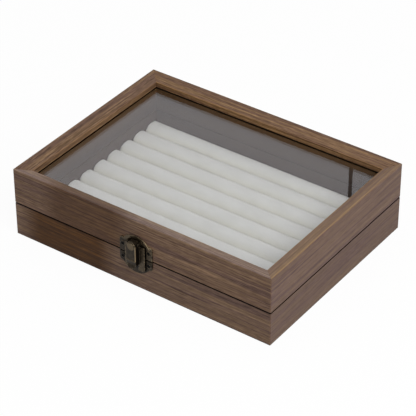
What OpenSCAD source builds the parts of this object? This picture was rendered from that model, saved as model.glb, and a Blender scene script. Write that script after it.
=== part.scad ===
// Ring display box: a low hardwood tray with a hinged, glazed lid, padded ring rolls and a snap latch.
// Millimetres. X runs along the long front, the front face looks towards -Y, Z is up.
// The origin is the middle of the underside, on the surface that the box stands on.

/* [Case] */
// Outside length of the case, along X
case_w = 224; // [190:1:270]
// Outside depth of the case, along Y
case_d = 168; // [140:1:200]
// Height of the tray's walls
tray_h = 27.2; // [25:0.1:34]
// Height of the lid at its outer edge
lid_h = 28.6; // [27:0.1:38]
// Thickness of the mitred boards
board_t = 10.4; // [9.6:0.1:12.4]
// Open seam between the tray and the closed lid
seam_gap = 1; // [0.2:0.05:1.2]
// Width of the chamfer that eases the outer edges
arris = 0.5; // [0.2:0.1:0.8]
// Width of the smaller chamfer along the seam
seam_arris = 0.15; // [0.05:0.05:0.4]
// Bevel along the bottom edges
base_arris = 0.2; // [0.1:0.05:0.5]

/* [Lid frame and glass] */
// How far the frame's top falls from its outer edge to the opening
frame_fall = 3.2; // [0.5:0.1:4.5]
// Depth of the glass below the inner edge of the frame
glass_sink = 4.7; // [3:0.1:6]
// Thickness of the glass pane
glass_t = 2.5; // [2:0.5:4]
// Depth of the groove that holds the glass
groove_depth = 4; // [2.5:0.5:6]
// Air above the glass in its groove
groove_air = 0.5; // [0.3:0.1:1.5]
// Air between the edge of the pane and the bottom of its groove
pane_air = 0.5; // [0.3:0.1:1]

/* [Tray bottom] */
// Thickness of the bottom panel
bottom_t = 3; // [2:0.5:4]
// Width of the rebate that holds the bottom panel
rebate_w = 4; // [3:0.5:6]
// Gap around the bottom panel in its rebate
panel_gap = 0.2; // [0.1:0.1:0.5]
// Thickness of the card that the rolls are glued to
card_t = 1.8; // [0.5:0.1:3]
// Gap around the card
card_gap = 0.5; // [0.3:0.1:1]

/* [Ring rolls] */
// Number of rolls across the depth of the tray
roll_count = 9; // [8:1:11]
// Gap between one roll and the next
roll_gap = 0.16; // [0.1:0.02:0.4]
// Gap between the ends of a roll and the side walls
roll_end_gap = 0.3; // [0.2:0.1:1]
// How far a roll is pressed flat on the card
roll_squash = 0.5; // [0.2:0.1:1]
// Radius of the rounded end of a roll
roll_end_r = 1.8; // [0.5:0.1:3]

/* [Latch plates] */
// Distance of the latch from the middle of the front
latch_x = -1.1; // [-20:0.1:20]
// Width of both plates
plate_w = 28.2; // [27.4:0.2:32]
// Thickness of the plates
plate_t = 0.8; // [0.6:0.1:1]
// Distance of each plate's straight edge from the seam
plate_setback = 0.1; // [0.1:0.1:0.8]
// Radius of the round crown of each plate
crown_r = 13.5; // [13:0.1:13.7]
// Height of the upper plate's peak above the seam
crown_rise = 17.1; // [16.6:0.1:18]
// Depth of the lower plate's tip below the seam
crown_drop = 14.2; // [13:0.1:15]
// Radius of the rounded ears at the corners
ear_r = 2.1; // [1.5:0.1:2.5]
// Height of the upper ears' tops above the seam
ear_rise = 12; // [11:0.1:12.6]
// Depth of the lower ears' bottoms below the seam
ear_drop = 8; // [7:0.1:8.6]
// Distance of the nails from the sides of the plates
nail_inset = 2.9; // [2.6:0.1:3.4]
// Height of the upper nails above the seam
nail_rise = 6.7; // [4:0.1:7.2]
// Depth of the lower nails below the seam
nail_drop = 4.1; // [3.5:0.1:5.5]

/* [Latch nails] */
// Radius of a nail's shank
nail_r = 0.6; // [0.4:0.05:0.8]
// Radius of a nail's round head
nail_head_r = 1.05; // [0.9:0.05:1.2]
// Height of a nail's round head
nail_head_h = 0.5; // [0.3:0.05:0.6]
// Length of a nail in the wood
nail_l = 6; // [4:0.5:8]
// Radius of the raised collar around a nail
collar_r = 1.9; // [1.7:0.1:2.2]
// Height of the collar above its plate
collar_h = 0.35; // [0.2:0.05:0.5]
// Gap around a nail's head in its collar
nail_play = 0.1; // [0.05:0.01:0.15]

/* [Hasp] */
// Width of the hasp's leaf
hasp_w = 17; // [16:0.2:18]
// Thickness of the hasp's sheet
sheet_t = 0.8; // [0.6:0.1:0.9]
// Distance from the front face to the back of the leaf
leaf_out = 1.4; // [1.2:0.1:1.7]
// Height of the leaf's top above the seam
leaf_rise = 10.4; // [9.8:0.1:10.8]
// Depth of the leaf's bottom below the seam
leaf_drop = 10.2; // [9:0.1:11]
// Height of the pivot pin above the seam
pin_rise = 12.9; // [12.6:0.1:13.2]
// Distance of the pivot pin from the front face
pin_out = 3.8; // [3.7:0.1:4]
// Radius of the pivot pin
pin_r = 0.6; // [0.5:0.05:0.7]
// Running clearance around the pivot pin
pin_play = 0.08; // [0.05:0.01:0.1]
// Radius of the two eyes that carry the pivot pin
eye_r = 1.2; // [1.1:0.05:1.4]
// Thickness of each eye
eye_w = 1; // [0.8:0.1:1.2]
// Gap between the eyes and the hasp
eye_gap = 0.2; // [0.1:0.05:0.3]
// Distance from the front face to the front of the raised rib
rib_out = 6.7; // [6.4:0.1:7]
// Width of the raised rib
rib_w = 8; // [7.6:0.2:8.4]
// Depth of the rib's bottom below the seam
rib_drop = 4.6; // [4:0.1:5.4]
// Radius of the rib's head around the pivot pin
head_r = 2.5; // [2.3:0.1:2.6]
// Radius of the head's front edge
nose_r = 1.6; // [1.2:0.1:1.8]
// Radius of the raised disc on the front of the head
disc_r = 2.9; // [2.4:0.1:3.2]
// Height of the raised disc
disc_h = 0.2; // [0.1:0.05:0.3]
// Depth of the crimped ridge below the seam
ridge_drop = 0.5; // [0.3:0.1:1]
// Radius of the crimped ridge
ridge_r = 0.65; // [0.4:0.05:0.8]
// Depth of the finger lip's bottom below the seam
lip_drop = 6.7; // [6:0.1:7.2]
// How far the finger lip flares out past the rib
lip_flare = 0.8; // [0.4:0.1:1.4]

/* [Catch] */
// Width of the catch inside the rib
catch_w = 4.8; // [4:0.2:5.2]
// How far the catch stands out from the front face
catch_out = 4.6; // [4:0.1:4.8]
// Depth of the catch's top below the seam
catch_top = 1.2; // [1:0.1:2]
// Depth of the catch's bottom below the seam
catch_bottom = 6.2; // [5.6:0.1:6.4]

/* [Hinges] */
// Distance of each hinge from the middle of the back
hinge_x = 66; // [50:1:76]
// Length of a hinge
hinge_l = 24; // [20:1:30]
// Thickness of a hinge leaf
hinge_t = 0.9; // [0.7:0.1:1]
// Depth of a leaf in the wood
hinge_reach = 7; // [6.5:0.1:8]
// Distance of the hinge pin from the back face
hinge_out = 1.9; // [1.8:0.1:2.4]
// Radius of the hinge knuckles
hinge_knuckle_r = 1.6; // [1.5:0.05:1.65]
// Radius of the hinge pin
hinge_pin_r = 0.7; // [0.5:0.05:0.9]
// Running clearance around the hinge pin
hinge_play = 0.06; // [0.03:0.01:0.1]
// Gap between one knuckle and the next
knuckle_gap = 0.3; // [0.2:0.05:0.5]
// Gap around a leaf in its mortise
mortise_gap = 0.1; // [0.05:0.01:0.15]
// Angle at which the stops meet
open_angle = 100; // [90:1:110]
// Angle left between the stops at that point
stop_play = 1.5; // [0.5:0.5:3]
// Reach of a stop from the pin
stop_reach = 3.7; // [3.2:0.1:4.2]
// Thickness of a stop
stop_t = 0.8; // [0.6:0.1:1]
// Running gap between a stop and the other leaf's knuckle
stop_gap = 0.35; // [0.2:0.05:0.5]

/* [Hinge screws] */
// Distance of the screws from the middle of a hinge
screw_x = 8; // [6:0.1:9]
// Distance of the screws from the back face
screw_in = 3.6; // [3:0.1:4.2]
// Radius of a screw's shank
screw_r = 0.7; // [0.5:0.05:0.8]
// Radius of a screw's flat head
screw_head_r = 1.5; // [1.2:0.05:1.7]
// Length of a screw
screw_l = 7; // [5:0.5:9]
// Clearance around a screw or a nail in its hole
hole_play = 0.05; // [0.03:0.01:0.1]
// Width of the cross slots in a screw's head
slot_w = 0.35; // [0.2:0.05:0.5]
// Depth of the cross slots
slot_depth = 0.4; // [0.2:0.05:0.5]

/* [Hidden] */
walnut = [0.43, 0.32, 0.24];
pale_ply = [0.72, 0.58, 0.42];
ivory = [0.86, 0.86, 0.83];
card_grey = [0.75, 0.74, 0.7];
bronze = [0.42, 0.37, 0.27];
clear_glass = [0.8, 0.88, 0.86, 0.35];
tiny = 0.01;
tall = 100;

// Levels
lid_z = tray_h + seam_gap;
seam_z = tray_h + seam_gap / 2;
floor_z = bottom_t + card_t;
inner_edge_z = lid_h - frame_fall;
glass_top = inner_edge_z - glass_sink;
glass_z = glass_top - glass_t;

// Inside of the case
inner_w = case_w - 2 * board_t;
inner_d = case_d - 2 * board_t;

// Rolls
roll_pitch = inner_d / roll_count;
roll_r = (roll_pitch - roll_gap) / 2;
roll_l = inner_w - 2 * roll_end_gap;
roll_z = floor_z + roll_r - roll_squash;

// Latch, seen from the front, with heights counted from the seam
plate_edge = seam_gap / 2 + plate_setback;
ear_x = plate_w / 2 - ear_r;
nail_x = plate_w / 2 - nail_inset;
nail_hole_r = nail_r + hole_play;
nail_seat = plate_t + collar_h - nail_head_h;
eye_x = rib_w / 2 + eye_gap;
leaf_corner = 1.2;
channel_top = pin_rise - head_r - sheet_t;
head_top = pin_rise + head_r;
arch_r = rib_w / 2;
lip_in = 0.7;

// Hinges
knuckle_l = (hinge_l - 2 * knuckle_gap) / 3;
hinge_side_x = (knuckle_l + knuckle_gap);
stop_in = hinge_knuckle_r + stop_gap;
stop_angle = open_angle / 2 + stop_play / 2;
leaf_level = seam_gap / 2;

roll_names = [for (i = [1:roll_count]) str("ring_roll_", i)];

// ---- Places ----

// Children drawn at the seam on the front face, with -Y pointing out of the box
module at_latch() {
    translate([latch_x, -case_d / 2, seam_z]) children();
}

// Children drawn at the seam on the back face, with +Y pointing out of the box
module at_hinge(side) {
    translate([side * hinge_x, case_d / 2, seam_z]) children();
}

// A flat outline in X and Z, given its thickness away from the front face
module front_sheet(out, thickness) {
    translate([0, -out, 0]) rotate([90, 0, 0]) linear_extrude(thickness) children();
}

// A side outline in Y and Z, given its width along X about the middle
module side_slab(width) {
    translate([-width / 2, 0, 0]) rotate([90, 0, 90]) linear_extrude(width) children();
}

// A round bar along X, about the middle
module cross_bar(r, length) {
    rotate([0, 90, 0]) cylinder(r = r, h = length, center = true, $fn = 48);
}

// ---- Mitred boards ----

// A board along X whose profile runs inwards from y = 0, mitred at both ends
module mitred_board(length) {
    intersection() {
        side_slab(length) children();
        linear_extrude(tall) polygon([
            [-length / 2 + arris, 0],
            [length / 2 - arris, 0],
            [length / 2 - arris / 2, arris / 2],
            [length / 2 - board_t, board_t],
            [-length / 2 + board_t, board_t],
            [-length / 2 + arris / 2, arris / 2]]);
    }
}

// The same board on each of the four sides
module front_side() {
    translate([0, -case_d / 2, 0]) mitred_board(case_w) children();
}

module back_side() {
    rotate([0, 0, 180]) front_side() children();
}

module left_side() {
    rotate([0, 0, -90]) translate([0, -case_w / 2, 0]) mitred_board(case_d) children();
}

module right_side() {
    rotate([0, 0, 180]) left_side() children();
}

module wall_profile() {
    polygon([
        [base_arris, 0],
        [board_t - rebate_w, 0],
        [board_t - rebate_w, bottom_t],
        [board_t, bottom_t],
        [board_t, tray_h],
        [seam_arris, tray_h],
        [0, tray_h - seam_arris],
        [0, base_arris]]);
}

module rail_profile() {
    polygon([
        [seam_arris, 0],
        [board_t, 0],
        [board_t, glass_z],
        [board_t - groove_depth, glass_z],
        [board_t - groove_depth, glass_top + groove_air],
        [board_t, glass_top + groove_air],
        [board_t, inner_edge_z],
        [arris, lid_h],
        [0, lid_h - arris],
        [0, seam_arris]]);
}

// ---- Tray ----

module tray_front_wall() {
    color(walnut) difference() {
        front_side() wall_profile();
        at_latch() nail_holes(-nail_drop);
    }
}

module tray_back_wall() {
    color(walnut) difference() {
        back_side() wall_profile();
        for (side = [-1, 1]) at_hinge(side) mirror([0, 0, 1]) hinge_seat();
    }
}

module tray_left_wall() {
    color(walnut) left_side() wall_profile();
}

module tray_right_wall() {
    color(walnut) right_side() wall_profile();
}

module bottom_panel() {
    panel_w = inner_w + 2 * (rebate_w - panel_gap);
    panel_d = inner_d + 2 * (rebate_w - panel_gap);
    color(pale_ply) translate([-panel_w / 2, -panel_d / 2, 0]) cube([panel_w, panel_d, bottom_t]);
}

module roll_card() {
    card_w = inner_w - 2 * card_gap;
    card_d = inner_d - 2 * card_gap;
    color(card_grey) translate([-card_w / 2, -card_d / 2, bottom_t]) cube([card_w, card_d, card_t]);
}

// A padded roll with rounded ends, counted from the back, pressed flat where it lies on the card
module ring_roll(i) {
    y = inner_d / 2 - (i - 0.5) * roll_pitch;
    color(ivory) translate([0, y, roll_z]) difference() {
        rotate([0, 90, 0]) translate([0, 0, -roll_l / 2]) rotate_extrude($fn = 64) {
            translate([0, roll_end_r]) square([roll_r, roll_l - 2 * roll_end_r]);
            square([roll_r - roll_end_r, roll_l]);
            for (end = [roll_end_r, roll_l - roll_end_r]) intersection() {
                translate([roll_r - roll_end_r, end]) circle(r = roll_end_r, $fn = 32);
                square([roll_r, roll_l]);
            }
        }
        translate([-roll_l, -roll_r, -2 * roll_r + roll_squash - roll_r]) cube([2 * roll_l, 2 * roll_r, 2 * roll_r]);
    }
}

// ---- Lid ----

module lid_front_rail() {
    color(walnut) difference() {
        translate([0, 0, lid_z]) front_side() rail_profile();
        at_latch() nail_holes(nail_rise);
    }
}

module lid_back_rail() {
    color(walnut) difference() {
        translate([0, 0, lid_z]) back_side() rail_profile();
        for (side = [-1, 1]) at_hinge(side) hinge_seat();
    }
}

module lid_left_rail() {
    color(walnut) translate([0, 0, lid_z]) left_side() rail_profile();
}

module lid_right_rail() {
    color(walnut) translate([0, 0, lid_z]) right_side() rail_profile();
}

module glass_pane() {
    pane_w = inner_w + 2 * (groove_depth - pane_air);
    pane_d = inner_d + 2 * (groove_depth - pane_air);
    color(clear_glass) translate([-pane_w / 2, -pane_d / 2, lid_z + glass_z]) cube([pane_w, pane_d, glass_t]);
}

// ---- Latch ----

// Both plates share this outline: a round crown between two ears, cut straight at the seam
module plate_outline(crown, ear) {
    intersection() {
        union() {
            translate([0, crown - crown_r]) circle(r = crown_r, $fn = 96);
            translate([-plate_w / 2, 0]) square([plate_w, ear - ear_r]);
            for (side = [-1, 1]) translate([side * ear_x, ear - ear_r]) circle(r = ear_r, $fn = 48);
        }
        translate([-plate_w / 2, plate_edge]) square([plate_w, crown]);
    }
}

module nail_holes(height) {
    for (side = [-1, 1]) translate([side * nail_x, -tiny, height]) rotate([-90, 0, 0])
        cylinder(r = nail_hole_r, h = nail_l + 2 * tiny, $fn = 32);
}

// Raised collars around the two nails of a plate
module collars(height) {
    for (side = [-1, 1]) translate([side * nail_x, 0, height]) rotate([90, 0, 0])
        cylinder(r = collar_r, h = plate_t + collar_h, $fn = 48);
}

module collar_holes(height) {
    for (side = [-1, 1]) translate([side * nail_x, 0, height]) rotate([90, 0, 0]) {
        translate([0, 0, -1]) cylinder(r = nail_hole_r, h = plate_t + 2, $fn = 32);
        translate([0, 0, nail_seat]) cylinder(r = nail_head_r + nail_play, h = 2, $fn = 32);
    }
}

// Two round-headed nails, seated in their collars
module nails(height) {
    cap_r = (nail_head_r * nail_head_r + nail_head_h * nail_head_h) / (2 * nail_head_h);
    for (side = [-1, 1]) translate([side * nail_x, 0, height]) rotate([90, 0, 0]) {
        translate([0, 0, -nail_l]) cylinder(r = nail_r, h = nail_l + nail_seat + tiny, $fn = 32);
        intersection() {
            translate([0, 0, nail_seat + nail_head_h - cap_r]) sphere(r = cap_r, $fn = 64);
            translate([0, 0, nail_seat]) cylinder(r = nail_head_r, h = nail_head_h, $fn = 48);
        }
    }
}

module latch_top_plate() {
    color(bronze) at_latch() difference() {
        union() {
            front_sheet(0, plate_t) plate_outline(crown_rise, ear_rise);
            collars(nail_rise);
            for (side = [-1, 1]) translate([side * (eye_x + eye_w / 2), 0, pin_rise]) pin_eye();
        }
        collar_holes(nail_rise);
        translate([0, -pin_out, pin_rise]) cross_bar(pin_r + hole_play, plate_w);
    }
}

// One of the two eyes that carry the pivot pin: a round boss on a web
module pin_eye() {
    translate([0, -pin_out, 0]) cross_bar(eye_r, eye_w);
    translate([-eye_w / 2, -pin_out, -eye_r]) cube([eye_w, pin_out, 2 * eye_r]);
}

module latch_top_nails() {
    color(bronze) at_latch() nails(nail_rise);
}

module latch_pivot_pin() {
    color(bronze) at_latch() translate([0, -pin_out, pin_rise]) cross_bar(pin_r, 2 * (eye_x + eye_w));
}

// The lower plate is the upper one turned over, with the catch in place of the eyes
module latch_catch_plate() {
    color(bronze) at_latch() difference() {
        union() {
            mirror([0, 0, 1]) front_sheet(0, plate_t) plate_outline(crown_drop, ear_drop);
            collars(-nail_drop);
            side_slab(catch_w) catch_profile();
        }
        collar_holes(-nail_drop);
    }
}

// Side view of the catch: a bump with sloping shoulders
module catch_profile() {
    slope = (catch_bottom - catch_top) / 4;
    polygon([
        [0, -catch_top],
        [-plate_t, -catch_top],
        [-catch_out, -catch_top - slope],
        [-catch_out, -catch_bottom + slope],
        [-plate_t, -catch_bottom],
        [0, -catch_bottom]]);
}

module latch_catch_nails() {
    color(bronze) at_latch() nails(-nail_drop);
}

module latch_hasp() {
    color(bronze) at_latch() difference() {
        union() {
            difference() {
                union() {
                    front_sheet(leaf_out, sheet_t) leaf_outline();
                    rib();
                }
                rib_channel();
                rib_end_cut();
            }
            head_disc();
            ridge();
            finger_lip();
        }
        translate([0, -pin_out, pin_rise]) cross_bar(pin_r + pin_play, hasp_w);
    }
}

// The leaf stops below the two eyes, and is rounded at its lower corners
module leaf_outline() {
    translate([-hasp_w / 2, -leaf_drop + leaf_corner]) square([hasp_w, leaf_drop - leaf_corner + leaf_rise]);
    translate([-hasp_w / 2 + leaf_corner, -leaf_drop]) square([hasp_w - 2 * leaf_corner, 2 * leaf_corner]);
    for (side = [-1, 1]) translate([side * (hasp_w / 2 - leaf_corner), -leaf_drop + leaf_corner])
        circle(r = leaf_corner, $fn = 32);
}

// The raised rib: an arch from the front, with a rounded head in side view
module rib() {
    shoulder = head_top - nose_r;
    intersection() {
        union() {
            translate([-rib_w / 2, -rib_out, -rib_drop]) cube([rib_w, rib_out - leaf_out, rib_drop + shoulder]);
            translate([-rib_w / 2, -rib_out + nose_r, pin_rise])
                cube([rib_w, rib_out - nose_r - pin_out, head_r]);
            translate([0, -pin_out, pin_rise]) cross_bar(head_r, rib_w);
            translate([0, -rib_out + nose_r, shoulder]) cross_bar(nose_r, rib_w);
        }
        front_sheet(0, rib_out + 1) union() {
            translate([0, head_top - arch_r]) circle(r = arch_r, $fn = 64);
            translate([-rib_w / 2, -rib_drop - 1]) square([rib_w, rib_drop + 1 + head_top - arch_r]);
        }
    }
}

// Hollow behind the rib, which runs out through a slot in the leaf so that the hasp can lift off the catch
module rib_channel() {
    hollow_w = rib_w - 2 * sheet_t;
    translate([-hollow_w / 2, -rib_out + sheet_t, -leaf_drop - 1])
        cube([hollow_w, rib_out, leaf_drop + 1 + channel_top]);
}

// The rib's front stops at the ridge, and its sides slope back to its bottom
module rib_end_cut() {
    side_slab(hasp_w) polygon([
        [-rib_out - 1, -ridge_drop],
        [-rib_out, -ridge_drop],
        [-rib_out + lip_in, -rib_drop - tiny],
        [-rib_out - 1, -rib_drop - tiny]]);
}

module head_disc() {
    translate([0, -rib_out + sheet_t, head_top - arch_r]) rotate([90, 0, 0])
        cylinder(r = disc_r, h = sheet_t + disc_h, $fn = 64);
}

module ridge() {
    translate([0, -rib_out + ridge_r / 2, -ridge_drop]) cross_bar(ridge_r, rib_w);
}

// The tongue below the ridge: it dips in, then flares out for a fingertip
module finger_lip() {
    dip = (lip_drop - ridge_drop) / 3;
    lip_tip_r = rib_w / 2;
    intersection() {
        side_slab(rib_w) polygon([
            [-rib_out, -ridge_drop],
            [-rib_out + lip_in, -ridge_drop - dip],
            [-rib_out + lip_in / 2, -lip_drop + dip],
            [-rib_out - lip_flare, -lip_drop],
            [-rib_out - lip_flare + sheet_t, -lip_drop],
            [-rib_out + lip_in / 2 + sheet_t, -lip_drop + dip],
            [-rib_out + lip_in + sheet_t, -ridge_drop - dip],
            [-rib_out + lip_in + sheet_t, -ridge_drop]]);
        front_sheet(0, rib_out + lip_flare + 1) union() {
            translate([0, -lip_drop + lip_tip_r]) circle(r = lip_tip_r, $fn = 64);
            translate([-rib_w / 2, -lip_drop + lip_tip_r]) square([rib_w, lip_drop]);
        }
    }
}

// ---- Hinges ----

// What a leaf and its screws take out of the lid's back rail, above the seam
module hinge_seat() {
    seat_l = hinge_l + 2 * mortise_gap;
    translate([-seat_l / 2, -hinge_reach - mortise_gap, -tiny])
        cube([seat_l, hinge_reach + mortise_gap + 1, leaf_level + hinge_t + tiny]);
    for (side = [-1, 1]) translate([side * screw_x, -screw_in, 0])
        cylinder(r = screw_r + hole_play, h = leaf_level + screw_l + mortise_gap, $fn = 32);
}

// The flat of a leaf above the seam, with its countersunk holes
module hinge_flat() {
    difference() {
        translate([-hinge_l / 2, -hinge_reach, leaf_level]) cube([hinge_l, hinge_reach, hinge_t]);
        for (side = [-1, 1]) translate([side * screw_x, -screw_in, leaf_level]) {
            translate([0, 0, -1]) cylinder(r = screw_r + hole_play, h = hinge_t + 2, $fn = 32);
            translate([0, 0, -tiny]) cylinder(r1 = screw_head_r + hole_play, r2 = screw_r + hole_play,
                h = hinge_t - 2 * hole_play, $fn = 32);
        }
    }
}

// A knuckle of the given length at x, joined to the flat above the seam
module hinge_knuckle(x, length) {
    translate([x, hinge_out, 0]) cross_bar(hinge_knuckle_r, length);
    translate([x - length / 2, -tiny, leaf_level]) cube([length, hinge_out + tiny, hinge_t]);
}

// A stop above the seam, whose flat lower face points at the pin
module hinge_stop(x, length, start) {
    translate([x - length / 2, hinge_out, 0]) rotate([stop_angle, 0, 0])
        translate([0, start, 0]) cube([length, stop_reach - start, stop_t]);
}

// The tray's leaf has the two outer knuckles, and is drawn upside down
module hinge_tray_leaf(side) {
    color(bronze) at_hinge(side) mirror([0, 0, 1]) difference() {
        union() {
            hinge_flat();
            for (end = [-1, 1]) {
                hinge_knuckle(end * hinge_side_x, knuckle_l);
                hinge_stop(end * hinge_side_x, knuckle_l, hinge_pin_r + 0.5);
            }
            hinge_stop(0, hinge_l, stop_in);
        }
        translate([0, hinge_out, 0]) cross_bar(hinge_pin_r + hole_play, hinge_l + 2);
    }
}

// The lid's leaf has the middle knuckle
module hinge_lid_leaf(side) {
    color(bronze) at_hinge(side) difference() {
        union() {
            hinge_flat();
            hinge_knuckle(0, knuckle_l);
            hinge_stop(0, knuckle_l, hinge_pin_r + 0.5);
        }
        translate([0, hinge_out, 0]) cross_bar(hinge_pin_r + hinge_play, hinge_l + 2);
    }
}

module hinge_pin(side) {
    color(bronze) at_hinge(side) translate([0, hinge_out, 0]) cross_bar(hinge_pin_r, hinge_l);
}

// Flat-headed screws above the seam, flush with the face of their leaf
module hinge_screw_pair() {
    for (side = [-1, 1]) translate([side * screw_x, -screw_in, leaf_level]) difference() {
        union() {
            cylinder(r1 = screw_head_r, r2 = screw_r, h = hinge_t - 2 * hole_play, $fn = 32);
            cylinder(r = screw_r, h = screw_l, $fn = 32);
        }
        for (turn = [0, 90]) rotate([0, 0, turn]) translate([-screw_r, -slot_w / 2, -tiny])
            cube([2 * screw_r, slot_w, slot_depth]);
    }
}

module hinge_tray_screws() {
    color(bronze) for (side = [-1, 1]) at_hinge(side) mirror([0, 0, 1]) hinge_screw_pair();
}

module hinge_lid_screws() {
    color(bronze) for (side = [-1, 1]) at_hinge(side) hinge_screw_pair();
}

// ---- Nodes ----

tray_front_wall();
tray_back_wall();
tray_left_wall();
tray_right_wall();
bottom_panel();
roll_card();
for (i = [1:roll_count]) ring_roll(i);
lid_front_rail();
lid_back_rail();
lid_left_rail();
lid_right_rail();
glass_pane();
latch_top_plate();
latch_top_nails();
latch_pivot_pin();
latch_hasp();
latch_catch_plate();
latch_catch_nails();
hinge_tray_leaf(-1);  // hinge_tray_leaf_left
hinge_tray_leaf(1);  // hinge_tray_leaf_right
hinge_lid_leaf(-1);  // hinge_lid_leaf_left
hinge_lid_leaf(1);  // hinge_lid_leaf_right
hinge_pin(-1);  // hinge_pin_left
hinge_pin(1);  // hinge_pin_right
hinge_tray_screws();
hinge_lid_screws();
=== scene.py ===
"""Looks of the ring display box: walnut boards, clear glass, velvet rolls and antique bronze fittings.

Lengths are in metres, in the CAD's frame: X to the right, Y to the back, Z up. Colours are linear.
"""
import math

import bpy
import numpy as np
from mathutils import Matrix, Vector, noise


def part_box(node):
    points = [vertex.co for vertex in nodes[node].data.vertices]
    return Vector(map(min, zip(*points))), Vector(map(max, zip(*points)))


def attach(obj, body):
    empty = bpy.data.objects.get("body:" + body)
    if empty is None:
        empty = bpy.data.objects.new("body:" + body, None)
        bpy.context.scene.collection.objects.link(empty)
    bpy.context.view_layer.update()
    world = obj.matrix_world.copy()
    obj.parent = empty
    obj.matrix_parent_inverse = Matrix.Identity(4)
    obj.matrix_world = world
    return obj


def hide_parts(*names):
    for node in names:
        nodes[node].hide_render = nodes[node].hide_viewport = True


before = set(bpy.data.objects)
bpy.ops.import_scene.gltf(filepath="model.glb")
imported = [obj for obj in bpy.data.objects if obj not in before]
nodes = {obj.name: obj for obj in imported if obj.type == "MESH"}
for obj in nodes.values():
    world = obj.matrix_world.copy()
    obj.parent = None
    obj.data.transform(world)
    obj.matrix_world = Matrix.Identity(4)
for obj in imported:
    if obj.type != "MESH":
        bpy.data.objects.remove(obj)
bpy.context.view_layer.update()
MM = 0.001
BOARD_EASE, METAL_EASE = 0.22 * MM, 0.12 * MM  # rounding of sharp edges

# The case: planes that part the hidden inside from the finished outside
INNER_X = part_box("roll_card")[1][0] + 0.5 * MM
INNER_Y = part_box("roll_card")[1][1] + 0.5 * MM
OUTER_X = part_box("lid_right_rail")[1][0]
OUTER_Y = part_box("lid_back_rail")[1][1]
GLASS_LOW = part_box("glass_pane")[0][2]
GLASS_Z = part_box("glass_pane")[1][2]
GROOVE_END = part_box("glass_pane")[1][0] + 1 * MM - INNER_X
LID_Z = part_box("lid_front_rail")[0][2]
TOP_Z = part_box("lid_front_rail")[1][2]
TOP_SLOPE = 3.2 / 10.4  # fall of the lid's top face, towards the glass
TOP_SKIN = 0.35 * MM  # how far below the top face its painted sheen starts
SKIN = 0.4 * MM  # how far behind the inner planes a face still counts as inside
SEAM_Z = (LID_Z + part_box("tray_front_wall")[1][2]) / 2
SEAM_HALF = LID_Z - SEAM_Z
ROLL_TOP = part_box("ring_roll_1")[1][2]

# The latch
HASP_LOW, HASP_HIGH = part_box("latch_hasp")
LATCH_X = (HASP_LOW[0] + HASP_HIGH[0]) / 2
LEAF_HALF = (HASP_HIGH[0] - HASP_LOW[0]) / 2
PLATE_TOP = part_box("latch_top_plate")[1][2]
CROWN_R = 13.5 * MM
# How far its faces stand out from the front board
PLATE_OUT, LEAF_OUT, RIB_OUT, DISC_OUT = 1.2 * MM, 2.3 * MM, 6.7 * MM, 6.78 * MM
# Places on it: from its middle, and up from the seam
RIB_EDGE = LATCH_X + 3.35 * MM
EAR_X = LATCH_X + 11 * MM
RIB_Z, RIB_HALF = SEAM_Z + 6 * MM, 5.6 * MM
DISC_LOW, DISC_HIGH = SEAM_Z + 7 * MM, SEAM_Z + 10 * MM
RIDGE_Z, RIDGE_HALF = SEAM_Z - 0.3 * MM, 0.3 * MM
HEAD_LOW, HEAD_HIGH = SEAM_Z + 9.5 * MM, SEAM_Z + 12 * MM
EAR_Z = SEAM_Z + 11.2 * MM
PLATE_FOOT = SEAM_Z - 10.5 * MM
NAILS_LOW, NAILS_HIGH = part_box("latch_top_nails")
NAIL_R = (NAILS_HIGH[2] - NAILS_LOW[2]) / 2
NAIL_SIDE = (NAILS_HIGH[0] - NAILS_LOW[0]) / 2 - NAIL_R
NAIL_UP = (NAILS_HIGH[2] + NAILS_LOW[2]) / 2
NAIL_DOWN = (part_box("latch_catch_nails")[1][2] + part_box("latch_catch_nails")[0][2]) / 2


# ---------------------------------------------------------------- node helpers

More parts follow.
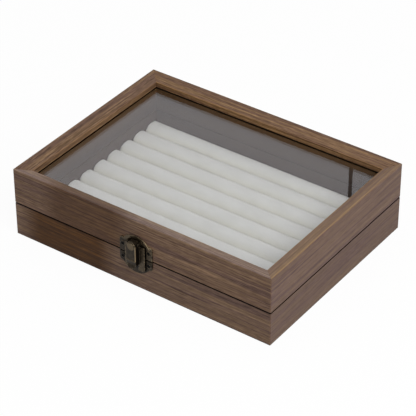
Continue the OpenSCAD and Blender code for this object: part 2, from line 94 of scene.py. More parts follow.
class Graph:
    """A short way to write a material's or the world's nodes."""

    def __init__(self, tree):
        self.tree = tree
        tree.nodes.clear()

    def node(self, kind, **values):
        made = self.tree.nodes.new(kind)
        for key, value in values.items():
            if hasattr(made, key) and key not in made.inputs:
                setattr(made, key, value)
            else:
                self.put(made.inputs[key], value)
        return made

    def put(self, socket, value):
        if isinstance(value, bpy.types.NodeSocket):
            self.tree.links.new(value, socket)
        elif isinstance(value, (tuple, list)) and len(value) == 3 and socket.type == "RGBA":
            socket.default_value = (*value, 1)
        else:
            socket.default_value = value

    def fill(self, made, *values):
        """Puts values into a node's first sockets, in order, and gives its first output."""
        for socket, value in zip(made.inputs, values):
            self.put(socket, value)
        return made.outputs[0]

    def math(self, operation, *values, clamp=False):
        return self.fill(self.node("ShaderNodeMath", operation=operation, use_clamp=clamp), *values)

    def less(self, a, b):
        return self.math("SUBTRACT", a, b)

    def apart(self, a, b):
        return self.math("ABSOLUTE", self.less(a, b))

    def times(self, first, *others):
        for other in others:
            first = self.math("MULTIPLY", first, other)
        return first

    def most(self, first, *others):
        for other in others:
            first = self.math("MAXIMUM", first, other)
        return first

    def sum(self, *terms):
        """Adds up values, each given with its weight."""
        total = 0.0
        for value, weight in terms:
            total = self.math("MULTIPLY_ADD", value, weight, total)
        return total

    def span(self, value, low, high, to_low=0.0, to_high=1.0, smooth=True):
        kind = "SMOOTHSTEP" if smooth else "LINEAR"
        made = self.node("ShaderNodeMapRange", interpolation_type=kind)
        for key, item in zip(("Value", "From Min", "From Max", "To Min", "To Max"),
                             (value, low, high, to_low, to_high)):
            self.put(made.inputs[key], item)
        return made.outputs[0]

    def fall(self, value, low, high):
        """1 below low, falling to 0 at high."""
        return self.span(value, low, high, 1.0, 0.0)

    def near(self, value, middle, half, soft):
        """1 within half of the middle, falling to 0 over soft."""
        return self.fall(self.apart(value, middle), half, half + soft)

    def point(self, x=0.0, y=0.0, z=0.0):
        return self.fill(self.node("ShaderNodeCombineXYZ"), x, y, z)

    def vector(self, operation, a, b):
        """A number made from two vectors."""
        made = self.node("ShaderNodeVectorMath", operation=operation)
        self.fill(made, a, b)
        return made.outputs["Value"]

    def mix(self, factor, a, b, blend="MIX"):
        made = self.node("ShaderNodeMix", data_type="RGBA", blend_type=blend)
        for place, value in ((0, factor), (6, a), (7, b)):
            self.put(made.inputs[place], value)
        return made.outputs[2]

    def darken(self, factor, colour, by):
        """Multiplies a colour, by the given share of the way."""
        return self.mix(factor, colour, self.mix(1.0, colour, by, "MULTIPLY"))

    def ramp(self, factor, stops):
        made = self.node("ShaderNodeValToRGB")
        self.put(made.inputs[0], factor)
        points = made.color_ramp.elements
        while len(points) < len(stops):
            points.new(0.5)
        for point, (place, colour) in zip(points, stops):
            point.position = place
            point.color = (*colour, 1)
        return made.outputs[0]

    def noise(self, where, fineness, detail, rough=0.55, shift=(0, 0, 0), distortion=0.0):
        """Noise with its own fineness along each axis, in waves to the metre."""
        drawn = self.node("ShaderNodeMapping", Vector=where, Scale=fineness, Location=shift)
        made = self.node("ShaderNodeTexNoise", Scale=1.0, Detail=detail, Roughness=rough, Distortion=distortion)
        self.put(made.inputs["Vector"], drawn.outputs[0])
        return made.outputs["Fac"]

    def bump(self, height, strength, distance, **more):
        return self.node("ShaderNodeBump", Strength=strength, Distance=distance, Height=height, **more).outputs[0]

    def rays(self, *kinds):
        """1 for rays of any of these kinds."""
        path = self.node("ShaderNodeLightPath")
        return self.most(*(path.outputs[kind] for kind in kinds))

    def skin(self, **sockets):
        """The principled shader. A socket's name is written with _ for each space."""
        return self.node("ShaderNodeBsdfPrincipled",
                         **{name.replace("_", " "): value for name, value in sockets.items()}).outputs[0]

    def plain(self, kind, colour, strength=None):
        """A shader of one colour."""
        made = self.node(kind)
        self.put(made.inputs[0], colour)
        if strength is not None:
            self.put(made.inputs[1], strength)
        return made.outputs[0]

    def either(self, factor, a, b):
        """Shader a, or b where the factor is 1."""
        return self.fill(self.node("ShaderNodeMixShader"), factor, a, b)

    def end(self, shader, kind="ShaderNodeOutputMaterial"):
        self.put(self.node(kind).inputs[0], shader)


def material(name):
    """A new material, with its graph and the place of each point in the object's own frame."""
    made = bpy.data.materials.new(name)
    made.use_nodes = True
    g = Graph(made.node_tree)
    return made, g, g.node("ShaderNodeTexCoord").outputs["Object"]


def axes_of(g, where):
    made = g.node("ShaderNodeSeparateXYZ")
    g.put(made.inputs[0], where)
    return made.outputs


def link(name, data):
    """A new object in the scene."""
    made = bpy.data.objects.new(name, data)
    bpy.context.scene.collection.objects.link(made)
    return made


def dress(name, finish):
    """Gives a CAD node its material."""
    slots = nodes[name].data.materials
    slots.clear()
    slots.append(finish)


def ease_edges(name, width, limit=25):
    """Rounds a CAD node's sharp edges a little, so that they catch the light."""
    made = nodes[name].modifiers.new("eased", "BEVEL")
    made.width = width
    made.segments = 2
    made.limit_method = "ANGLE"
    made.angle_limit = math.radians(limit)
    made.harden_normals = False


# ---------------------------------------------------------------- walnut

# Layers of the grain: fineness along and across the board, octaves, roughness, and place in the log
GRAIN = {
    "broad": (4, 110, 2.0, 0.6, 0),
    "bands": (5, 430, 2.0, 0.62, 0),
    "lines": (9, 1050, 2.0, 0.6, 0),
    "flecks": (150, 1500, 1.0, 0.5, 0),
    "fibre": (110, 2400, 2.0, 0.6, 0),
    "rings": (4, 240, 1.0, 0.5, 3),
}
GRAIN_WEIGHTS = {"flecks": 0.26, "lines": 0.40, "bands": 0.26, "broad": 0.14}
GRAIN_MIDDLE, GRAIN_SPREAD = 0.53, 0.14
GRAIN_DRIFT = 3 * MM
WALNUT = [
    (0.0, (0.056, 0.0310, 0.0165)),
    (0.35, (0.114, 0.0660, 0.0365)),
    (0.65, (0.160, 0.0950, 0.0530)),
    (1.0, (0.250, 0.1530, 0.0860))]
COOL_GRAIN, WARM_GRAIN = (0.99, 0.98, 1.14), (1.03, 1.03, 0.93)
GROWTH_LINE, PORE = (0.42, 0.37, 0.34), (0.40, 0.36, 0.34)
WARM_PATCH = (0.40, 0.25, 0.07)
# A painted highlight: the golden strip along the right rail's outer top edge
ARRIS_HIGHLIGHT = (0.35, 0.225, 0.100)
ARRIS_HIGHLIGHT_X, ARRIS_HIGHLIGHT_HALF = OUTER_X - 1.5 * MM, 0.5 * MM
BARE_SHADED_LOW, BARE_LIT_HIGH, BARE_SHADE = (0.060, 0.034, 0.0205), (0.112, 0.062, 0.0285), (0.72, 0.70, 0.70)
BARE_FADE = 8 * MM  # how far down from the glass the inner faces are painted lighter and warmer, as lit through the glass
LIP_GLOW = (1.14, 1.05, 0.86)
GAP_SHADE, FOOT_SHADE = (0.05, 0.05, 0.05), (0.45, 0.42, 0.40)
FOOT = 1.1 * MM  # height of the painted shade along the edge that stands on the floor
GAP_DEPTH = 1.3 * MM  # how far in from the outside the seam's faces are painted dark, as shade in the gap


def grain_of(g, where, along, shift):
    """The layers of the grain, by name. A slow drift bends them a little, as on a sliced veneer."""
    def fineness(length, across):
        return (length, across, across) if along == 0 else (across, length, across)

    drift = g.noise(where, fineness(9, 30), 2.0, shift=shift)
    bend = g.node("ShaderNodeVectorMath", operation="MULTIPLY_ADD")
    lift = g.point(0.0, drift, drift) if along == 0 else g.point(drift, 0.0, drift)
    bent = g.fill(bend, lift, (GRAIN_DRIFT,) * 3, where)
    return {layer: g.noise(bent, fineness(length, across), octaves, rough, [s + log for s in shift])
            for layer, (length, across, octaves, rough, log) in GRAIN.items()}


def figured(g, grain, value, pore, figure):
    """The wood's colour before any tint: the grain, with thin dark growth lines and short pores between them."""
    spread = GRAIN_SPREAD / figure
    colour = g.ramp(g.span(value, GRAIN_MIDDLE - spread, GRAIN_MIDDLE + spread, smooth=False), WALNUT)
    hue = g.span(g.math("ADD", grain["bands"], grain["lines"]), 0.85, 1.15)
    colour = g.mix(1.0, colour, g.mix(hue, COOL_GRAIN, WARM_GRAIN), "MULTIPLY")
    growth = g.times(g.near(grain["rings"], 0.5, 0.006, 0.03), g.span(grain["broad"], 0.36, 0.6))
    colour = g.darken(g.times(growth, 0.6 * figure), colour, GROWTH_LINE)
    return g.darken(g.times(pore, 0.5 * figure), colour, PORE)


def unlit_gaps(g, sides, z, deep):
    """1 where no light gets in: the groove that holds the glass, and between the lid and the tray."""
    groove = g.times(g.near(z, (GLASS_LOW + GLASS_Z) / 2, (GLASS_Z - GLASS_LOW) / 2 + 0.5 * MM, 0.1 * MM),
                     g.span(deep, 0.3 * MM, 0.5 * MM), g.fall(deep, GROOVE_END, GROOVE_END + 0.2 * MM))
    lip_foot = g.times(g.near(z, GLASS_Z + 0.25 * MM, 0.40 * MM, 0.15 * MM), g.fall(deep, 0.8 * MM, 1.0 * MM))
    rim = g.most(g.less(sides[0], OUTER_X - GAP_DEPTH), g.less(sides[1], OUTER_Y - GAP_DEPTH))
    seam = g.times(g.near(z, SEAM_Z, SEAM_HALF + 0.05 * MM, 0.08 * MM), g.span(rim, 0, 0.3 * MM))
    return g.math("MAXIMUM", seam, g.most(groove, lip_foot), clamp=True)


def walnut(name, along, shift, tone_and_light=(1, 1, 1), top=(1, 1, 1), figure=1.0, patch=None, edge_highlight=False):
    """Straight-grained walnut whose grain runs along X (0) or Y (1). Its board tint is partly its own tone and partly
    painted light and sheen, and its upper face has a further tint of painted sheen.
    """
    made, g, where = material(name)
    x, y, z = axes_of(g, where)
    sides = g.math("ABSOLUTE", x), g.math("ABSOLUTE", y)
    grain = grain_of(g, where, along, shift)
    value = g.sum(*((grain[layer], weight) for layer, weight in GRAIN_WEIGHTS.items()))

    # The faces inside the box are left without lacquer, and are duller and plainer
    deep = g.most(g.less(sides[0], INNER_X), g.less(sides[1], INNER_Y))
    facing_in = g.fall(deep, SKIN, 2 * SKIN)
    under = g.fall(z, GLASS_Z, GLASS_Z + 0.2 * MM)
    inner = g.times(facing_in, under)
    finished = g.less(1.0, inner)
    pore = g.times(g.fall(grain["fibre"], 0.34, 0.42), finished)

    # The board's tint: its own tone, with painted light and sheen in it
    colour = g.mix(1.0, figured(g, grain, value, pore, figure), tone_and_light, "MULTIPLY")
    edge = g.math("MINIMUM", g.less(OUTER_X, sides[0]), g.less(OUTER_Y, sides[1]))
    upper = g.span(g.math("MULTIPLY_ADD", edge, TOP_SLOPE, z), TOP_Z - TOP_SKIN, TOP_Z - TOP_SKIN + 0.2 * MM)
    # Painted sheen: the upper face is tinted lighter
    colour = g.darken(upper, colour, top)
    if patch:
        low, high, depth = patch
        reach = (high - low) * 0.35
        inside = g.near((x, y)[along], (low + high) / 2, reach, reach)
        colour = g.darken(g.times(inside, depth), colour, WARM_PATCH)
    if edge_highlight:
        # A painted highlight along the outer top edge: a golden strip, broken by the grain, where the rounded arris
        # catches the light
        strip = g.times(g.near(x, ARRIS_HIGHLIGHT_X, ARRIS_HIGHLIGHT_HALF, 0.8 * MM), upper)
        colour = g.mix(g.times(strip, g.span(grain["lines"], 0.38, 0.62, 0.15, 0.85)), colour, ARRIS_HIGHLIGHT)
    # Painted light and shade on the bare inner faces: lighter and warmer just under the glass, darker further down
    bare = g.mix(g.span(z, GLASS_LOW - BARE_FADE, GLASS_LOW - 1 * MM), BARE_SHADED_LOW, BARE_LIT_HIGH)
    colour = g.mix(inner, colour, g.darken(g.span(grain["broad"], 0.62, 0.38), bare, BARE_SHADE))
    # Painted light: the lip above the glass is tinted warmer and brighter, standing in for light off the wood across
    # it
    colour = g.darken(g.times(facing_in, g.less(1.0, under)), colour, LIP_GLOW)
    colour = g.darken(unlit_gaps(g, sides, z, deep), colour, GAP_SHADE)
    colour = g.darken(g.fall(z, 0.3 * MM, FOOT), colour, FOOT_SHADE)

    relief = g.sum((grain["lines"], 0.5), (grain["fibre"], 1.0), (pore, -0.9))
    g.end(g.skin(Base_Color=colour, Roughness=g.span(value, 0.4, 0.66, 0.50, 0.42), Specular_IOR_Level=0.10,
                 Normal=g.bump(g.times(relief, finished), 0.3, 0.10 * MM)))
    return made


# Run of the grain, place in the log, tint of the board (its own tone with painted light and sheen in it), painted
# sheen on its upper face,
# strength of the figure, the warm patch: where it starts and ends, and how deep it is, and the painted highlight on
# the outer top edge
BOARDS = {
    "tray_front_wall": dict(along=0, shift=(0.0, 3.1, 7.7), tone_and_light=(1.12, 1.17, 1.42), patch=(-0.098, -0.028, 1.0)),
    "tray_back_wall": dict(along=0, shift=(5.0, 1.7, 2.9)),
    "tray_left_wall": dict(along=1, shift=(2.2, 8.0, 4.1)),
    "tray_right_wall": dict(along=1, shift=(9.4, 2.6, 1.3), tone_and_light=(0.98, 1.01, 1.30), figure=0.55),
    "lid_front_rail": dict(along=0, shift=(3.6, 9.2, 5.5), tone_and_light=(1.10, 1.12, 1.32), top=(1.38, 1.57, 1.78),
                           patch=(-0.078, -0.014, 0.64)),
    "lid_back_rail": dict(along=0, shift=(7.1, 4.4, 8.8), tone_and_light=(1.31, 1.32, 1.38)),
    "lid_left_rail": dict(along=1, shift=(1.9, 5.3, 3.2), tone_and_light=(1.19, 1.23, 1.37)),
    "lid_right_rail": dict(along=1, shift=(6.5, 7.9, 9.9), tone_and_light=(1.09, 1.13, 1.46), top=(1.25, 1.28, 1.16),
                           figure=0.55, edge_highlight=True),
}

for board, look in BOARDS.items():
    dress(board, walnut("walnut_" + board, **look))
    ease_edges(board, BOARD_EASE)


# ---------------------------------------------------------------- glass, plywood and card

# The glass's reflection is tinted as painted light: the tint stands in for the colour of the surroundings it reflects
GLASS_BODY, GLASS_TINT, GLASS_PASS = (0.98, 0.985, 0.985), (0.86, 0.84, 0.90), (0.96, 0.965, 0.965)
PLY_WOOD = [(0.32, (0.36, 0.235, 0.13)), (0.5, (0.50, 0.35, 0.21)), (0.68, (0.60, 0.45, 0.29))]
PLY_GLUE, PLY_HALF = (0.22, 0.14, 0.08), 0.6 * MM
CARD_DARK, CARD_LIGHT = (0.42, 0.41, 0.38), (0.56, 0.55, 0.51)


def clear_glass():
    """Clear, and open to the rays that carry light and shadow into the box. Faint wipe marks catch the light."""
    made, g, where = material("clear_glass")
    marks = g.noise(where, (60, 25, 60), 4.0)
    pane = g.skin(Base_Color=GLASS_BODY, Roughness=0.0, IOR=1.5, Transmission_Weight=1.0,
                  Specular_Tint=GLASS_TINT, Normal=g.bump(marks, 0.02, 0.02 * MM))
    open_way = g.plain("ShaderNodeBsdfTransparent", GLASS_PASS)
    g.end(g.either(g.rays("Is Shadow Ray", "Is Diffuse Ray"), pane, open_way))
    return made


def plywood():
    """Bare plywood, whose plies show on its thin edges."""
    made, g, where = material("bare_plywood")
    rings = g.noise(where, (9, 160, 160), 4.0, 0.6, distortion=0.4)
    fibre = g.noise(where, (120, 3000, 3000), 2.0)
    value = g.sum((fibre, 0.25), (rings, 0.75))
    colour = g.ramp(value, PLY_WOOD)
    ply = g.math("PINGPONG", axes_of(g, where)[2], PLY_HALF)
    colour = g.mix(g.span(ply, 0.2 * MM, 0.5 * MM, 0.0, 0.25), colour, PLY_GLUE)
    g.end(g.skin(Base_Color=colour, Roughness=0.72, Normal=g.bump(fibre, 0.3, 0.1 * MM)))
    return made


def grey_card():
    """The pulp board under the rolls."""
    made, g, where = material("grey_card")
    pulp = g.noise(where, (900, 900, 900), 5.0, 0.7)
    colour = g.mix(g.span(pulp, 0.3, 0.7), CARD_DARK, CARD_LIGHT)
    g.end(g.skin(Base_Color=colour, Roughness=0.9, Normal=g.bump(pulp, 0.25, 0.1 * MM)))
    return made


dress("glass_pane", clear_glass())
dress("bottom_panel", plywood())
dress("roll_card", grey_card())


# ---------------------------------------------------------------- the metal

PATINA = [
    (0.30, (0.024, 0.0178, 0.0110)),
    (0.50, (0.046, 0.0340, 0.0212)),
    (0.70, (0.078, 0.0580, 0.0360))]
BRIGHT_METAL = (0.42, 0.31, 0.18)
DEEP_HOLLOWS, OPEN_HOLLOWS = (0.20, 0.18, 0.16), (0.55, 0.48, 0.38)
# The patina's tone by place, where 1 is as on the ears, with painted shade on the flanks, under the hasp and round
# the nails; and how bright each rubbed place is, where the crown's rim and the ear's top are painted highlights, and
# the head and the crown painted light
BLACKENED = 0.04
HASP_TONE = {"flank_shade": 0.12, "front": 0.55}
PLATE_TONE = {"shadow_under_hasp": 0.10, "left_ears": 0.50, "lower_ears": 0.62, "foot": 0.55, "nail_shade": 0.08, "flank_shade": 0.12}
RUB_AND_HIGHLIGHT = {"disc_low": 0.02, "disc_high": 0.24, "ridge": 0.10, "head": 0.07, "leaf": 0.04,
       "rim": 0.7, "ear_highlight": 0.8, "crown": 0.09}


def antique_bronze(name, wear_and_painted_light, metallic=0.85, gloss=0.5, hollows=DEEP_HOLLOWS):
    """Dark patina, rubbed bright on the edges. The function passed in gives the patina's tone at each place, with
    painted shade in it, and the rubbed patches, with painted highlights and light among them.
    """
    made, g, where = material(name)
    cloud = g.noise(where, (500, 500, 500), 4.0, 0.6)
    grit = g.noise(where, (3800, 3800, 3800), 3.0, 0.6)
    # Worn edges: where a rounded copy of the normal leaves the flat one
    round_off = g.node("ShaderNodeBevel", samples=6, Radius=0.35 * MM).outputs[0]
    flat = g.node("ShaderNodeNewGeometry").outputs["Normal"]
    edge = g.span(g.vector("DOT_PRODUCT", round_off, flat), 0.995, 0.90)
    hollow = g.node("ShaderNodeAmbientOcclusion", samples=6, Distance=4 * MM)
    open_sky = g.span(hollow.outputs["AO"], 0.25, 0.85)
    tone, rubbed_and_highlit = wear_and_painted_light(g, axes_of(g, where))
    worn_and_highlit = g.times(edge, g.span(cloud, 0.35, 0.62), g.math("MULTIPLY", open_sky, tone, clamp=True))
    # The rubbed patches, with painted highlights and light among them
    worn_and_highlit = g.math("MAXIMUM", worn_and_highlit, rubbed_and_highlit, clamp=True)
    colour = g.darken(1.0, g.ramp(cloud, PATINA), g.ramp(tone, [(0.0, (0, 0, 0)), (1.0, (1, 1, 1))]))
    colour = g.darken(g.less(1.0, open_sky), colour, hollows)
    colour = g.mix(g.times(worn_and_highlit, 0.75), colour, BRIGHT_METAL)
    roughness = g.less(g.span(grit, 0.3, 0.7, 0.36, 0.50), g.times(worn_and_highlit, 0.10))
    g.end(g.skin(Base_Color=colour, Metallic=metallic, Specular_IOR_Level=gloss, Roughness=roughness,
                 Normal=g.bump(grit, 0.3, 0.06 * MM, Normal=round_off)))
    return made


def out_from_front(g, y):
    return g.less(g.times(y, -1.0), OUTER_Y)


def wear_evenly(g, axes):
    return 1.0, 0.0


def wear_black(g, axes):
    return BLACKENED, 0.0


def hasp_wear_and_painted_light(g, axes):
    """Painted shade on the rib's flanks; plain on the leaf, a little lighter there; a painted highlight on the rib's
    right edge; the disc lighter towards its top; rubbed on its ridge; painted light on the head.
    """
    x, y, z = axes
    out = out_from_front(g, y)
    front = g.span(out, RIB_OUT - 0.9 * MM, RIB_OUT - 0.45 * MM)
    leaf = g.fall(out, LEAF_OUT, LEAF_OUT + 0.3 * MM)
    # The dark tone on the rib's flanks is painted shade
    tone = g.most(HASP_TONE["flank_shade"], g.times(front, HASP_TONE["front"]), leaf)
    # Painted highlight along the rib's right edge
    rim = g.times(g.near(z, RIB_Z, RIB_HALF, 1.5 * MM), g.span(x, RIB_EDGE, RIB_EDGE + 0.4 * MM))
    disc = g.times(g.span(out, DISC_OUT, DISC_OUT + 0.07 * MM),
                   g.span(z, DISC_LOW, DISC_HIGH, RUB_AND_HIGHLIGHT["disc_low"], RUB_AND_HIGHLIGHT["disc_high"]))
    ridge = g.times(g.near(z, RIDGE_Z, RIDGE_HALF, 0.3 * MM), RUB_AND_HIGHLIGHT["ridge"])
    # Painted light on the hasp's head, brighter towards its top
    head = g.span(z, HEAD_LOW, HEAD_HIGH, 0.0, RUB_AND_HIGHLIGHT["head"])
    return tone, g.most(g.times(front, g.most(rim, disc, ridge)), head, g.times(leaf, RUB_AND_HIGHLIGHT["leaf"]))


def plate_wear_and_painted_light(g, axes):
    """Painted shadow under the hasp; plain on the upper right ears, darker on the left and below the seam; painted
    highlights on the right of the crown's rim and the right ear's top; painted light on the crown.
    """
    x, y, z = axes
    from_middle = g.apart(x, LATCH_X)
    beside = g.times(g.span(from_middle, LEAF_HALF + 0.2 * MM, LEAF_HALF + 1.0 * MM),
                     g.span(x, LATCH_X - 1 * MM, LATCH_X + 1 * MM, PLATE_TONE["left_ears"], 1.0),
                     g.span(z, SEAM_Z - 1 * MM, SEAM_Z + 1 * MM, PLATE_TONE["lower_ears"], 1.0))
    above = g.span(z, HEAD_LOW - 0.5 * MM, HEAD_HIGH)
    below = g.span(z, PLATE_FOOT, PLATE_FOOT + 1 * MM, PLATE_TONE["foot"], 0.0)
    # The darkest tone, under the hasp, is a painted shadow
    tone = g.most(PLATE_TONE["shadow_under_hasp"], beside, above, below)
    # Painted shade round each nail, and on the flanks of the pressed crown
    for nail_z in (NAIL_UP, NAIL_DOWN):
        away = g.vector("DISTANCE", g.point(from_middle, 0.0, z), (NAIL_SIDE, 0, nail_z))
        tone = g.times(tone, g.span(away, NAIL_R + 0.2 * MM, NAIL_R + 0.6 * MM, PLATE_TONE["nail_shade"], 1.0))
    tone = g.times(tone, g.span(out_from_front(g, y), PLATE_OUT, PLATE_OUT + 0.3 * MM, 1.0, PLATE_TONE["flank_shade"]))
    # Painted highlights on the right of the crown's rim and on the right ear's top
    reach = g.vector("DISTANCE", g.point(x, 0.0, z), (LATCH_X, 0, PLATE_TOP - CROWN_R))
    rim = g.times(g.near(reach, CROWN_R - 0.2 * MM, 0.35 * MM, 0.3 * MM),
                  g.span(x, LATCH_X + 3 * MM, LATCH_X + 8 * MM),
                  g.span(z, PLATE_TOP - 8 * MM, PLATE_TOP - 6.5 * MM), RUB_AND_HIGHLIGHT["rim"])
    ear_highlight = g.times(g.span(x, EAR_X, EAR_X + 1 * MM), g.span(z, EAR_Z, EAR_Z + 0.6 * MM, 0.0, RUB_AND_HIGHLIGHT["ear_highlight"]))
    # Painted light on the crown above the hasp's head, brighter towards its top
    crown = g.span(z, HEAD_LOW, HEAD_HIGH, 0.0, RUB_AND_HIGHLIGHT["crown"])
    return tone, g.most(rim, ear_highlight, crown)


bronze = antique_bronze("antique_bronze", wear_evenly)
black_bronze = antique_bronze("black_bronze", wear_black, metallic=0.3, gloss=0.08)
plate_bronze = antique_bronze("plate_bronze", plate_wear_and_painted_light, hollows=OPEN_HOLLOWS)
for name in nodes:
    if name.startswith(("latch_", "hinge_")):
        dress(name, black_bronze if name.endswith(("nails", "pivot_pin")) else bronze)
dress("latch_hasp", antique_bronze("hasp_bronze", hasp_wear_and_painted_light))
dress("latch_top_plate", plate_bronze)
dress("latch_catch_plate", plate_bronze)
for name in ("latch_hasp", "latch_top_plate", "latch_catch_plate"):
    ease_edges(name, METAL_EASE, limit=40)


# ---------------------------------------------------------------- the padded rolls

ROLLS = 9
AROUND, ALONG, END_RINGS = 48, 110, 6  # points of the sewn tube
FULLNESS, CORNER = 2.5, 1.06  # how square a pressed roll is (2 is round), and how far its corners reach
TUCK = 1.4 * MM  # depth of the gathered ends
SLACK = 0.30 * MM
RIPPLE = 0.16 * MM
PLEATS, PLEAT, PLEAT_RUN = 12, 0.14 * MM, 5 * MM  # how many at each end, how deep, how far they run
CLOTH_SCALE = 25  # the rolls are blown up by this while the cloth is simulated, to suit the solver's units
CLOTH_FRAMES = 14
CLOTH_CAP = 0.45 * MM
HELD_END = 0.3 * MM
CLOTH = dict(quality=4, mass=0.3, tension_stiffness=15, compression_stiffness=15, shear_stiffness=8,
             bending_stiffness=0.6, use_pressure=True, uniform_pressure_force=4, vertex_group_mass="held")


VELVET_DARK, VELVET_LIGHT, VELVET_DEEP = (0.594, 0.590, 0.562), (0.634, 0.630, 0.604), (0.46, 0.455, 0.435)
# Painted light in the valleys and painted shade on the crowns, which flatten the rolls' shading
VALLEY_PAINTED_LIGHT, CROWN_PAINTED_SHADE = (1.02, 1.01, 0.965), (0.960, 0.955, 0.970)
CROWN_FADE = 4 * MM  # how far down from the rolls' tops the crowns' painted shade reaches


def velvet():
    """Pale velvet, painted a shade darker and cooler on the crowns and lighter and creamier in the valleys: painted
    shade and light that flatten the rolls' shading.
    """
    made, g, where = material("roll_velvet")
    patch = g.noise(where, (60, 90, 90), 3.0, 0.5)
    pile = g.noise(where, (1500, 1500, 1500), 3.0, 0.7)
    colour = g.mix(g.span(patch, 0.3, 0.7), VELVET_DARK, VELVET_LIGHT)
    colour = g.mix(g.span(pile, 0.35, 0.65, 0.0, 0.16), colour, VELVET_DEEP)
    crown = g.span(axes_of(g, where)[2], ROLL_TOP - CROWN_FADE, ROLL_TOP - 0.3 * MM)
    colour = g.mix(1.0, colour, g.mix(crown, VALLEY_PAINTED_LIGHT, CROWN_PAINTED_SHADE), "MULTIPLY")
    g.end(g.skin(Base_Color=colour, Roughness=0.95, Specular_IOR_Level=0.10, Sheen_Weight=0.10,
                 Sheen_Roughness=0.5, Subsurface_Weight=0.5, Subsurface_Scale=4 * MM,
                 Subsurface_Radius=(1.0, 1.0, 0.95), Normal=g.bump(pile, 0.5, 0.22 * MM)))
    return made


def roll_stations(half):
    """Places along the tube, each with how far it has swelled from the gathered end."""
    ends = [(TUCK * (1 - math.cos(a)), math.sin(a)) for a in np.linspace(0.15, math.pi / 2, END_RINGS)]
    stations = [(-half + x, swell) for x, swell in ends]
    stations += [(x, 1.0) for x in np.linspace(-half + TUCK, half - TUCK, ALONG)[1:-1]]
    return stations + [(half - x, swell) for x, swell in reversed(ends)]


def tube_faces(rows, hub):
    """Quads along the tube, and a fan at each end about its hub, which comes after the rings' points."""
    turn = [(k, (k + 1) % AROUND) for k in range(AROUND)]
    faces = [(i * AROUND + k, i * AROUND + n, (i + 1) * AROUND + n, (i + 1) * AROUND + k)
             for i in range(rows - 1) for k, n in turn]
    faces += [(n, k, hub) for k, n in turn]
    last = (rows - 1) * AROUND
    return faces + [(last + k, last + n, hub + 1) for k, n in turn]


def roll_cage(name, index):
    """The sewn tube of one roll, a little slack, with pleats at its gathered ends."""
    low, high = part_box(name)
    radius = (high[1] - low[1]) / 2
    half = (high[0] - low[0]) / 2
    middle = Vector(((low[0] + high[0]) / 2, (low[1] + high[1]) / 2, high[2] - radius))
    stations = roll_stations(half)
    points = []
    for x, swell in stations:
        slack = SLACK + TUCK * (1 - swell) * 0.9
        near_end = math.exp(-(half - abs(x)) / PLEAT_RUN)
        for k in range(AROUND):
            a = 2 * math.pi * k / AROUND
            c, s = math.cos(a), math.sin(a)
            squared = (abs(c) ** FULLNESS + abs(s) ** FULLNESS) ** (-1 / FULLNESS)
            ripple = noise.noise(Vector((x * 40, c * 1.7 + index * 5.3, s * 1.7))) * RIPPLE
            pleat = near_end * PLEAT * math.sin(PLEATS * a + index * 1.7)
            r = radius * min(squared, CORNER) - slack + ripple + pleat
            points.append((x, r * c, r * s))
    hub = len(points)
    points += [(stations[0][0], 0, 0), (stations[-1][0], 0, 0)]
    return np.array(points), tube_faces(len(stations), hub), middle, radius, (low, high)


def blow_up(points, faces):
    """Cloth under pressure, held at its gathered ends. Returns the moved points."""
    scene = bpy.context.scene
    mesh = bpy.data.meshes.new("roll_cloth")
    mesh.from_pydata([tuple(p * CLOTH_SCALE) for p in points], [], faces)
    cage = link("roll_cloth", mesh)
    reach = np.abs(points[:, 0]).max()
    held = cage.vertex_groups.new(name="held")
    held.add([i for i, p in enumerate(points) if abs(p[0]) > reach - HELD_END], 1.0, "REPLACE")
    cloth = cage.modifiers.new("cloth", "CLOTH")
    for rule, value in CLOTH.items():
        setattr(cloth.settings, rule, value)
    cloth.settings.effector_weights.gravity = 0
    cloth.collision_settings.use_collision = False
    cloth.point_cache.frame_start = 1
    cloth.point_cache.frame_end = CLOTH_FRAMES
    for step in range(1, CLOTH_FRAMES + 1):
        scene.frame_set(step)
    shaped = cage.evaluated_get(bpy.context.evaluated_depsgraph_get()).data
    moved = np.empty(len(points) * 3)
    shaped.vertices.foreach_get("co", moved)
    bpy.data.objects.remove(cage)
    scene.frame_set(1)
    return moved.reshape(-1, 3) / CLOTH_SCALE


def padded_roll(name, index, finish):
    """A roll of foam in velvet: full at the crown, pressed against its neighbours, gathered at its ends."""
    points, faces, middle, radius, (low, high) = roll_cage(name, index)
    step = blow_up(points, faces) - points
    length = np.linalg.norm(step, axis=1, keepdims=True)
    step *= np.minimum(1.0, CLOTH_CAP / np.maximum(length, 1e-9))
    points = points + step
    # Kept inside the CAD roll's box
    points[:, 0] = np.clip(points[:, 0], low[0] - middle.x, high[0] - middle.x)
    points[:, 1] = np.clip(points[:, 1], -radius + 0.01 * MM, radius - 0.01 * MM)
    points[:, 2] = np.clip(points[:, 2], low[2] - middle.z + 0.02 * MM, high[2] - middle.z)
    mesh = bpy.data.meshes.new(name + "_pad")
    mesh.from_pydata([tuple(p + np.array(middle)) for p in points], [], faces)
    mesh.validate()
    mesh.polygons.foreach_set("use_smooth", [True] * len(mesh.polygons))
    mesh.materials.append(finish)
    made = link(name + "_pad", mesh)
    finer = made.modifiers.new("finer", "SUBSURF")
    finer.levels = finer.render_levels = 1
    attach(made, "tray")
    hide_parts(name)


roll_finish = velvet()
for index in range(1, ROLLS + 1):
    padded_roll(f"ring_roll_{index}", index, roll_finish)


# ---------------------------------------------------------------- stage, light and camera

WHITE, PAPER, SHOWN_PAPER = (1, 1, 1), (0.72, 0.72, 0.72), (0.9, 0.9, 0.9)
WHITENESS = 0.95  # how much of the floor's seen white is its own, which no shadow dims
FLOOR_HALF, FLOOR_DROP = 6, 0.2 * MM
AMBIENT = 0.42
GAP_SLOPE, GAP_HALF, GAP_SOFT = -0.5939, 0.0013, 0.0006  # run in X over run in Y, as seen from the box
AIM = (0, 0, 0.03)  # where the lamps point

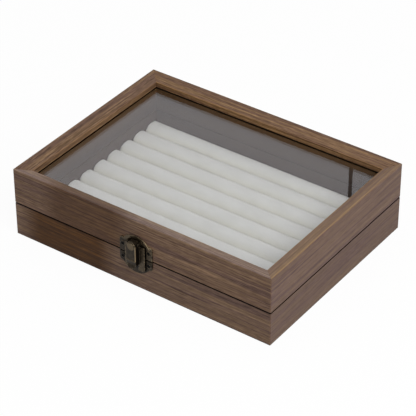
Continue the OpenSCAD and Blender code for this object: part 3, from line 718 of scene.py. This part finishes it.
# The photo's camera, fitted to the corners of the case: its angles, its place along its own axes, its lens
AZIMUTH, ELEVATION, ROLL = (math.radians(a) for a in (35.70, 35.53, -0.14))
CAMERA_SIDE, CAMERA_RISE, CAMERA_BACK = -0.03 * MM, 16.23 * MM, 1458.37 * MM
FOCAL_PX, PHOTO_PX, SENSOR_MM, CLIP = 1985.02, 416, 36, (0.05, 30)


def floor():
    """Plain paper: white as seen, and grey as light, so that the box keeps its shadow."""
    made, g, _ = material("floor_paper")
    paper = g.plain("ShaderNodeBsdfDiffuse", PAPER)
    shown = g.plain("ShaderNodeBsdfDiffuse", SHOWN_PAPER)
    soft = g.either(WHITENESS, shown, g.plain("ShaderNodeEmission", WHITE, 1.0))
    g.end(g.either(g.rays("Is Camera Ray", "Is Glossy Ray", "Is Transmission Ray"), paper, soft))
    mesh = bpy.data.meshes.new("floor")
    corners = [(-1, -1), (1, -1), (1, 1), (-1, 1)]
    mesh.from_pydata([(x * FLOOR_HALF, y * FLOOR_HALF, 0) for x, y in corners], [], [(0, 1, 2, 3)])
    mesh.materials.append(made)
    ground = link("floor", mesh)
    ground.location = (0, 0, -FLOOR_DROP)


def studio():
    """White as seen. A dark gap between two backdrop cards, at back left, shows in the glass only."""
    world = bpy.data.worlds.new("studio")
    bpy.context.scene.world = world
    world.use_nodes = True
    g = Graph(world.node_tree)
    toward = axes_of(g, g.node("ShaderNodeTexCoord").outputs["Generated"])
    gap = g.times(g.near(g.math("DIVIDE", toward[0], toward[1]), GAP_SLOPE, GAP_HALF, GAP_SOFT),
                  g.math("GREATER_THAN", toward[1], 0.0), g.rays("Is Glossy Ray"))
    backdrop = g.plain("ShaderNodeBackground", WHITE, g.less(1.0, g.times(gap, 0.9)))
    ambient = g.plain("ShaderNodeBackground", WHITE, AMBIENT)
    seen = g.rays("Is Camera Ray", "Is Glossy Ray", "Is Transmission Ray")
    g.end(g.either(seen, ambient, backdrop), "ShaderNodeOutputWorld")


def softbox(name, place, size, power, glossy=False):
    """A round lamp aimed at the box. It shows in reflections only if glossy."""
    lamp = bpy.data.lights.new(name, "AREA")
    lamp.shape = "DISK"
    lamp.size = size
    lamp.energy = power
    made = link(name, lamp)
    made.location = place
    made.rotation_euler = (Vector(AIM) - Vector(place)).to_track_quat("-Z", "Y").to_euler()
    made.visible_glossy = glossy


def photo_camera():
    """The view of the photo."""
    back = Vector((math.sin(AZIMUTH) * math.cos(ELEVATION), -math.cos(AZIMUTH) * math.cos(ELEVATION),
                   math.sin(ELEVATION)))
    right = Vector((math.cos(AZIMUTH), math.sin(AZIMUTH), 0))
    up = back.cross(right)
    side = right * math.cos(ROLL) + up * math.sin(ROLL)
    rise = up * math.cos(ROLL) - right * math.sin(ROLL)
    place = side * CAMERA_SIDE + rise * CAMERA_RISE + back * CAMERA_BACK
    lens = bpy.data.cameras.new("photo_view")
    lens.sensor_width = SENSOR_MM
    lens.sensor_fit = "HORIZONTAL"
    lens.lens = FOCAL_PX / PHOTO_PX * SENSOR_MM
    lens.clip_start, lens.clip_end = CLIP
    camera = link("photo_view", lens)
    camera.matrix_world = Matrix((
        (side.x, rise.x, back.x, place.x),
        (side.y, rise.y, back.y, place.y),
        (side.z, rise.z, back.z, place.z),
        (0, 0, 0, 1)))
    bpy.context.scene.camera = camera


floor()
studio()
softbox("key_right", place=(1.10, -0.45, 1.35), size=1.1, power=20.0, glossy=True)
softbox("fill_top", place=(-0.3, 0.1, 1.6), size=1.2, power=3.0)
photo_camera()
bpy.context.scene.view_settings.view_transform = "Standard"
